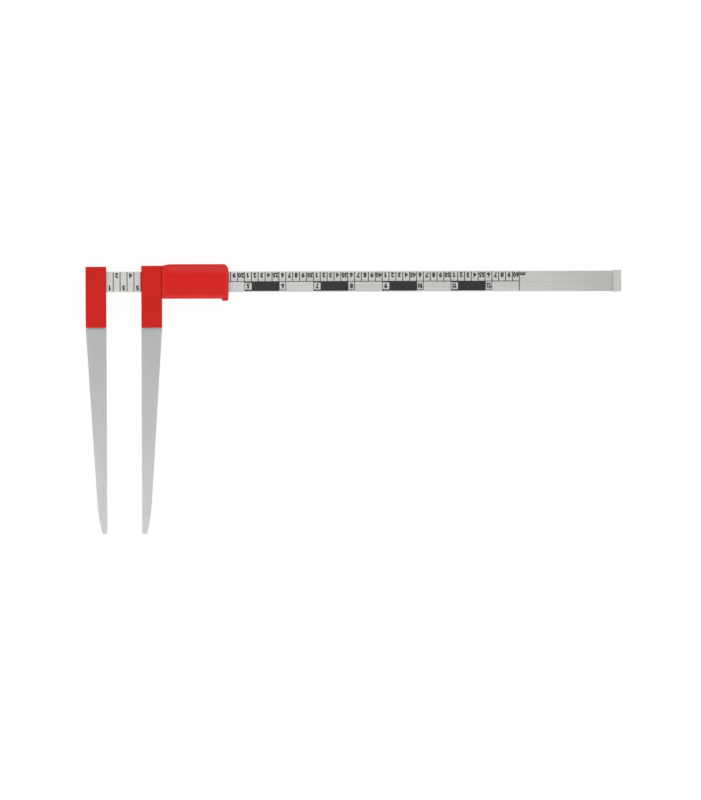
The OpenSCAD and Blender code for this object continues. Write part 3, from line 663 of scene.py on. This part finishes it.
# Inside, the channel holds the carriage and the bush, and the mouth lets the beam out.
# Ribs part the pockets behind the dome, and nuts, adjusters and screws have their own seats.
carriage_low, carriage_high = grip_box("carriage")
channel_end = grip_box("mouth_bush")[1][0] + fit_gap
beam_corners = grip_box("beam")
mouth_y = (beam_corners[0][1] - mouth_gap, beam_corners[1][1] + mouth_gap)
mouth_z = (beam_corners[0][2] - mouth_gap, beam_corners[1][2] + mouth_gap)
nut_low, nut_high = grip_box("adjuster_nuts")
nut_z = (nut_low[2] - fit_gap, nut_high[2] + fit_gap)
screw_low, screw_high = grip_box("grip_screws")
screw_x = (screw_low[0] + screw_high[0]) / 2
hollow = [
    block(tongue_x[0] - cut_past, channel_end, carriage_low[1] - fit_gap, carriage_high[1] + fit_gap,
          carriage_low[2] - fit_gap, carriage_high[2] + fit_gap),
    block(channel_end - mouth_into, grip_x[1] + mouth_past, *mouth_y, *mouth_z),
]
for adjuster in ("jaw_side_adjuster", "end_side_adjuster"):
    low, high = grip_box(adjuster)
    x = (low[0] + high[0]) / 2
    half = (nut_z[1] - nut_z[0]) / 2
    hollow += [block(x - half, x + half, nut_low[1], nut_high[1] + fit_gap, *nut_z)]
    hollow += [rod((x, 0, parting_z), 1, (nut_low[1] - nut_below, grip_y[1] + cut_past),
                   high[2] - low[2] + 2 * mouth_gap)]
sunk_heads = []
for y in (screw_low[1] + screw_head_d / 2, screw_high[1] - screw_head_d / 2):
    hollow += [rod((screw_x, y, 0), 2, (-cut_past, screw_high[2] + tip_room), screw_d)]
    sunk_heads += [rod((screw_x, y, 0), 2, (-cut_past, screw_head_z), screw_head_d + 2 * fit_gap)]
pocket_ends = np.linspace(*pocket_x, pocket_count + 1)
pockets = [block(x0, x1 - rib_w, *pocket_y, parting_z - cut_past, pocket_z)
           for x0, x1 in zip(pocket_ends[:-1], pocket_ends[1:])]
front_lip = lip_skin(parting_z, front_z - lip_margin, 0.0, lip_end_r)
rear_lip = lip_skin(lip_margin, parting_z, lip_end_r, 0.0)
front_tongue = block(*tongue_x, *tongue_y, parting_z, parting_z + tongue_reach)
rear_tongue = block(*tongue_x, *tongue_y, parting_z - tongue_reach, parting_z)
front = carve("grip_front", on_grip(skin(dome)), [on_grip(part) for part in (front_lip, front_tongue)],
              [on_grip(part) for part in hollow + pockets])
rear = carve("grip_rear", on_grip(skin(tray)), [on_grip(part) for part in (rear_lip, rear_tongue)],
             [on_grip(part) for part in hollow + sunk_heads])
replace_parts(make_piece(front, grip_plastic, "sliding_jaw"), "grip_front_shell")
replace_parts(make_piece(rear, grip_plastic, "sliding_jaw"), "grip_rear_shell")

# Stage: a plain white light table, whose own glow and the light that it throws back add up to just white.
# So the caliper's edges stay true, and hardly any shadow or red glow lies beside them.
floor_reach = 30.0
floor_z = -0.3 * MM
floor_mesh = bpy.data.meshes.new("floor")
floor_mesh.from_pydata([(-floor_reach, -floor_reach, floor_z), (floor_reach, -floor_reach, floor_z),
                        (floor_reach, floor_reach, floor_z), (-floor_reach, floor_reach, floor_z)],
                       [], [(0, 1, 2, 3)])
floor = bpy.data.objects.new("floor", floor_mesh)
bpy.context.scene.collection.objects.link(floor)
table_top, tree, place = start_material("white_table")
shader = add_node(tree, "BsdfPrincipled", {"Base Color": linear("#606060"), "Roughness": 0.9,
                                           "Specular IOR Level": 0.0, "Emission Color": (1.0, 1.0, 1.0, 1.0),
                                           "Emission Strength": 0.9})
add_node(tree, "OutputMaterial", {"Surface": shader})
floor_mesh.materials.append(table_top)

# Studio: a grey wall far off, a bright ring of soft light higher up, and a dim middle overhead.
# The ring shows in the bevels, and the dim middle keeps the flat faces deep in colour.
wall_heights = (0.0, 0.1, 0.14, 0.25, 0.4, 0.68, 0.86, 1.0)
wall_greys = (0.3, 0.3, 0.2, 0.25, 0.96, 0.96, 0.3, 0.16)
world = bpy.data.worlds.new("studio")
bpy.context.scene.world = world
world.use_nodes = True
tree = world.node_tree
tree.nodes.clear()
upward = add_node(tree, "SeparateXYZ", {"Vector": tree.nodes.new("ShaderNodeTexCoord").outputs["Generated"]})
glow = add_node(tree, "ValToRGB", {"Fac": upward.node.outputs["Z"]})
stops = glow.node.color_ramp.elements
for height in wall_heights[1:-1]:
    stops.new(height)
for stop, grey in zip(stops, wall_greys):
    stop.color = (grey, grey, grey, 1.0)
add_node(tree, "OutputWorld", {"Surface": add_node(tree, "Background", {"Color": glow, "Strength": 1.6})})

# Key light: a small softbox high up beyond the blades' tips, turned towards them.
# It brightens the blades from root to tip, as in the photograph.
key_aim = Vector((-0.34, -0.15, 0.0))
key = bpy.data.lights.new("key_softbox", "AREA")
key.shape = "SQUARE"
key.size = 0.6
key.energy = 1.15
key_box = bpy.data.objects.new("key_softbox", key)
key_box.location = (-0.42, -0.38, 0.85)
key_box.rotation_euler = (key_aim - key_box.location).to_track_quat("-Z", "Y").to_euler()
bpy.context.scene.collection.objects.link(key_box)

# Camera: square above the scale, far off with a long lens, turned a few degrees as the photograph is.
# Its aim, turn and focal length were fitted to the photograph's own edges.
photo_h = 800
focal_px = 4130.5
camera_reach = 6.0
aim = Vector((-6.05, -2.51, 15.4)) * MM
lens = bpy.data.cameras.new("camera")
lens.sensor_width = 36.0
lens.lens = focal_px / photo_h * lens.sensor_width
lens.clip_end = 100.0
camera = bpy.data.objects.new("camera", lens)
camera.rotation_euler = (radians(-1.048), radians(-3.276), radians(-0.177))
camera.location = aim + camera.rotation_euler.to_matrix() @ Vector((0.0, 0.0, camera_reach))
bpy.context.scene.collection.objects.link(camera)
bpy.context.scene.camera = camera
bpy.context.scene.view_settings.view_transform = "Standard"
